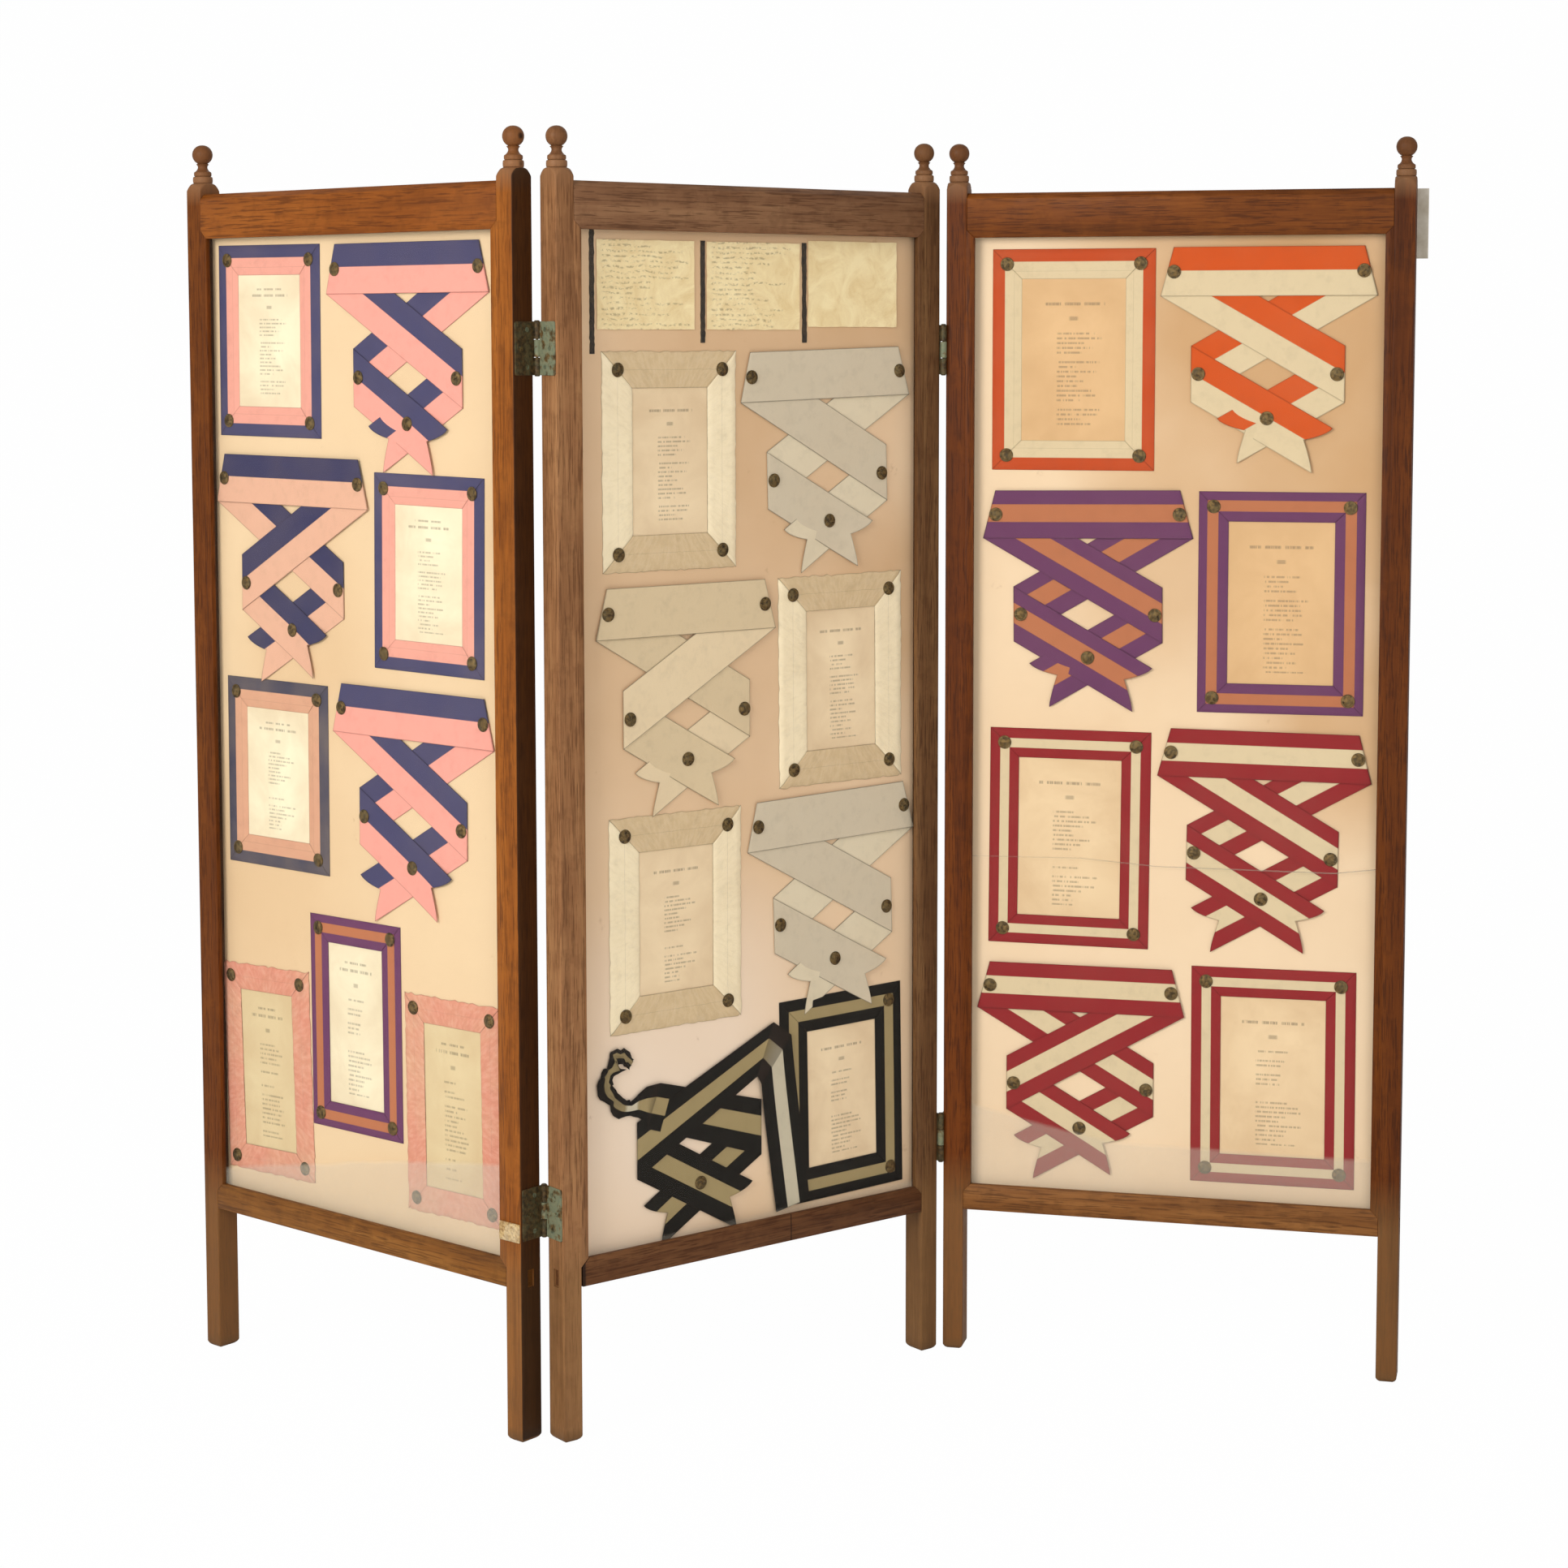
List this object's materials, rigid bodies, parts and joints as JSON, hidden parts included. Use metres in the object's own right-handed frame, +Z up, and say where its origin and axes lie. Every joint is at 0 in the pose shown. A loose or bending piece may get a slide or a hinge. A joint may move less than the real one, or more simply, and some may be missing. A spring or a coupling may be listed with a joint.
{
  "type": "folding screen",
  "caption": "Glazed oak folding screen with turned finials, brass hinges, and ribbons, cards and buttons mounted behind glass.",
  "frame": {"origin": "middle of the screen's outline on the floor, in its half-folded stance", "axes": "+X to the viewer's right, +Y to the back of the screen, +Z up"},
  "size_m": [1.5657, 0.4302, 1.5835],
  "materials": {
    "oak": "worn wax over mid-brown oak",
    "glass": "clear, slightly dusty",
    "fillet_wood": "bare, darkened",
    "backboard_wood": "bare board",
    "left_leaf_mount": "matt",
    "middle_leaf_mount": "matt",
    "right_leaf_mount": "matt",
    "card": "matt, foxed",
    "left_leaf_ribbon": "ribbed silk",
    "middle_leaf_ribbon": "ribbed silk",
    "right_leaf_ribbon": "ribbed silk",
    "aged_brass": "dark, aged",
    "hinge_brass": "tarnished with verdigris",
    "note_paper": "matt, yellowed",
    "black_paper": "matt",
    "pale_clip": "worn pale",
    "tag_paper": "matt"
  },
  "bodies": {
    "left_leaf": {"left_leaf_left_post": "oak", "left_leaf_right_post": "oak", "left_leaf_top_rail": "oak", "left_leaf_bottom_rail": "oak", "left_leaf_glass": "glass", "left_leaf_spacer_fillets": "fillet_wood", "left_leaf_mount_board": "left_leaf_mount", "left_leaf_backboard": "backboard_wood", "left_leaf_back_beads": "oak", "left_leaf_cards": "card", "left_leaf_card_ribbons": "left_leaf_ribbon", "left_leaf_folded_ribbons": "left_leaf_ribbon", "left_leaf_buttons": "aged_brass", "left_leaf_hinge_screws": "aged_brass", "left_leaf_clip": "pale_clip", "left_joint_lower_hinge_outer_plate": "hinge_brass", "left_joint_lower_hinge_pin": "hinge_brass", "left_joint_upper_hinge_outer_plate": "hinge_brass", "left_joint_upper_hinge_pin": "hinge_brass"},
    "middle_leaf": {"middle_leaf_left_post": "oak", "middle_leaf_right_post": "oak", "middle_leaf_top_rail": "oak", "middle_leaf_bottom_rail": "oak", "middle_leaf_glass": "glass", "middle_leaf_spacer_fillets": "fillet_wood", "middle_leaf_mount_board": "middle_leaf_mount", "middle_leaf_backboard": "backboard_wood", "middle_leaf_back_beads": "oak", "middle_leaf_cards": "card", "middle_leaf_card_ribbons": "middle_leaf_ribbon", "middle_leaf_folded_ribbons": "middle_leaf_ribbon", "middle_leaf_buttons": "aged_brass", "middle_leaf_hinge_screws": "aged_brass", "middle_leaf_paper_notes": "note_paper", "middle_leaf_black_bands": "black_paper", "left_joint_lower_hinge_inner_plate": "hinge_brass", "left_joint_upper_hinge_inner_plate": "hinge_brass", "right_joint_lower_hinge_outer_plate": "hinge_brass", "right_joint_lower_hinge_pin": "hinge_brass", "right_joint_upper_hinge_outer_plate": "hinge_brass", "right_joint_upper_hinge_pin": "hinge_brass"},
    "right_leaf": {"right_leaf_left_post": "oak", "right_leaf_right_post": "oak", "right_leaf_top_rail": "oak", "right_leaf_bottom_rail": "oak", "right_leaf_glass": "glass", "right_leaf_spacer_fillets": "fillet_wood", "right_leaf_mount_board": "right_leaf_mount", "right_leaf_backboard": "backboard_wood", "right_leaf_back_beads": "oak", "right_leaf_cards": "card", "right_leaf_card_ribbons": "right_leaf_ribbon", "right_leaf_folded_ribbons": "right_leaf_ribbon", "right_leaf_buttons": "aged_brass", "right_leaf_hinge_screws": "aged_brass", "right_leaf_tag": "tag_paper", "right_leaf_tag_tack": "aged_brass", "right_joint_lower_hinge_inner_plate": "hinge_brass", "right_joint_upper_hinge_inner_plate": "hinge_brass"}
  },
  "joints": [
    {"name": "left_joint", "type": "hinge", "parent": "middle_leaf", "child": "left_leaf", "pos_m": [-0.31612, -0.18644, 0.8], "axis": [0, 0, 1], "range_deg": [-102, 78]},
    {"name": "right_joint", "type": "hinge", "parent": "middle_leaf", "child": "right_leaf", "pos_m": [0.197, 0.12158, 0.8], "axis": [0, 0, 1], "range_deg": [-128, 52]}
  ]
}
